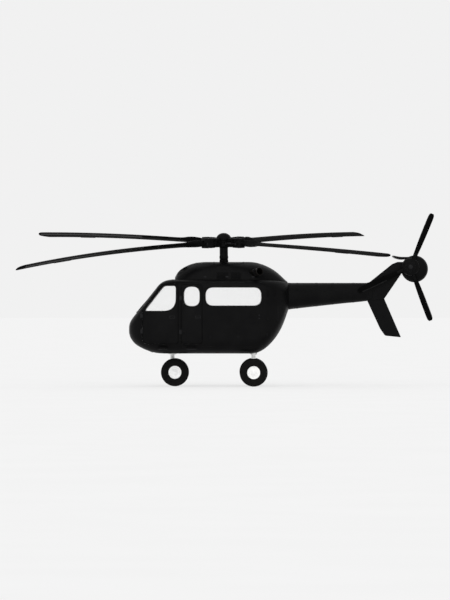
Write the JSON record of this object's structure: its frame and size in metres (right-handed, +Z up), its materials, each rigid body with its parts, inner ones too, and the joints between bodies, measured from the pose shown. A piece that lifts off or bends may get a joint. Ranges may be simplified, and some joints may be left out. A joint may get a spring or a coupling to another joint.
{
  "type": "wheeled utility helicopter",
  "caption": "Parked utility helicopter with a hollow cabin, hinged doors, spinning rotors and rolling wheels.",
  "frame": {"origin": "on the ground, in the middle of the machine's plan box", "axes": "+X runs aft to the tail, +Y to starboard, +Z up; the nose points to -X"},
  "size_m": [12.9456, 12.2654, 5.3989],
  "materials": {
    "blade_black": "matt black composite",
    "body_black": "satin black paint",
    "bright_steel": "bright steel",
    "cabin_floor": "pale matt",
    "clear_glass": "clear",
    "dark_metal": "dark bare metal",
    "pale_paint": "pale paint",
    "rotor_black": "black paint",
    "seat_fabric": "pale fabric",
    "tail_black": "satin black paint on composite",
    "tyre_rubber": "black rubber"
  },
  "bodies": {
    "airframe": {"aft_shell": "body_black", "belly_panel": "body_black", "cabin_bench": "seat_fabric", "cabin_floor": "cabin_floor", "cabin_glass_port": "clear_glass", "cabin_glass_starboard": "clear_glass", "cabin_roof": "body_black", "cabin_side_port": "body_black", "cabin_side_starboard": "body_black", "cockpit_shell": "body_black", "engine_block": "dark_metal", "engine_cowling": "body_black", "exhaust_port": "dark_metal", "exhaust_starboard": "dark_metal", "instrument_panel": "dark_metal", "main_gearbox": "dark_metal", "main_leg_port": "pale_paint", "main_leg_starboard": "pale_paint", "nose_leg": "pale_paint", "pilot_seat_port": "seat_fabric", "pilot_seat_starboard": "seat_fabric", "stabiliser": "tail_black", "tail_boom": "tail_black", "tail_gearbox": "body_black", "tail_pylon": "tail_black", "ventral_fin": "tail_black", "windscreen_port": "clear_glass", "windscreen_starboard": "clear_glass"},
    "nose_steer": {"nose_piston": "bright_steel"},
    "nose_wheels": {"nose_port_tyre": "tyre_rubber", "nose_port_rim": "pale_paint", "nose_starboard_tyre": "tyre_rubber", "nose_starboard_rim": "pale_paint"},
    "main_wheel_port": {"main_port_tyre": "tyre_rubber", "main_port_rim": "pale_paint"},
    "main_wheel_starboard": {"main_starboard_tyre": "tyre_rubber", "main_starboard_rim": "pale_paint"},
    "main_rotor": {"rotor_head": "rotor_black", "rotor_mast": "rotor_black", "rotor_cap": "rotor_black", "main_blade_1": "blade_black", "main_blade_2": "blade_black", "main_blade_3": "blade_black", "main_blade_4": "blade_black"},
    "tail_rotor": {"tail_rotor_hub": "rotor_black", "tail_blade_1": "blade_black", "tail_blade_2": "blade_black", "tail_blade_3": "blade_black"},
    "cockpit_door_port": {"cockpit_door_port": "body_black", "cockpit_door_glass_port": "clear_glass"},
    "cabin_door_port": {"cabin_door_port": "body_black", "cabin_door_glass_port": "clear_glass"},
    "cockpit_door_starboard": {"cockpit_door_starboard": "body_black", "cockpit_door_glass_starboard": "clear_glass"},
    "cabin_door_starboard": {"cabin_door_starboard": "body_black", "cabin_door_glass_starboard": "clear_glass"}
  },
  "joints": [
    {"name": "nose_steering", "type": "hinge", "parent": "airframe", "child": "nose_steer", "pos_m": [-1.684, -0.168, 0.6], "axis": [0, 0, 1], "range_deg": [-60, 60]},
    {"name": "nose_wheels_spin", "type": "hinge", "parent": "nose_steer", "child": "nose_wheels", "pos_m": [-1.604, -0.168, 0.436], "axis": [0, 1, 0], "continuous": true},
    {"name": "main_wheel_port_spin", "type": "hinge", "parent": "airframe", "child": "main_wheel_port", "pos_m": [0.849, -0.968, 0.436], "axis": [0, 1, 0], "continuous": true},
    {"name": "main_wheel_starboard_spin", "type": "hinge", "parent": "airframe", "child": "main_wheel_starboard", "pos_m": [0.849, 0.632, 0.436], "axis": [0, 1, 0], "continuous": true},
    {"name": "main_rotor_spin", "type": "hinge", "parent": "airframe", "child": "main_rotor", "pos_m": [-0.082, -0.168, 4.475], "axis": [-0.0087, -0.061, 0.9981], "continuous": true},
    {"name": "tail_rotor_spin", "type": "hinge", "parent": "airframe", "child": "tail_rotor", "pos_m": [5.741, -0.503, 3.725], "axis": [0, 1, 0], "continuous": true},
    {"name": "cockpit_door_port_hinge", "type": "hinge", "parent": "airframe", "child": "cockpit_door_port", "pos_m": [-2.602, -1.0322, 1.96], "axis": [0, 0, -1], "range_deg": [0, 80]},
    {"name": "cockpit_door_starboard_hinge", "type": "hinge", "parent": "airframe", "child": "cockpit_door_starboard", "pos_m": [-2.602, 0.6962, 1.96], "axis": [0, 0, 1], "range_deg": [0, 80]},
    {"name": "cabin_door_port_hinge", "type": "hinge", "parent": "airframe", "child": "cabin_door_port", "pos_m": [-1.394, -1.222, 2.225], "axis": [0, 0, -1], "range_deg": [0, 85]},
    {"name": "cabin_door_starboard_hinge", "type": "hinge", "parent": "airframe", "child": "cabin_door_starboard", "pos_m": [-1.394, 0.886, 2.225], "axis": [0, 0, 1], "range_deg": [0, 85]}
  ]
}
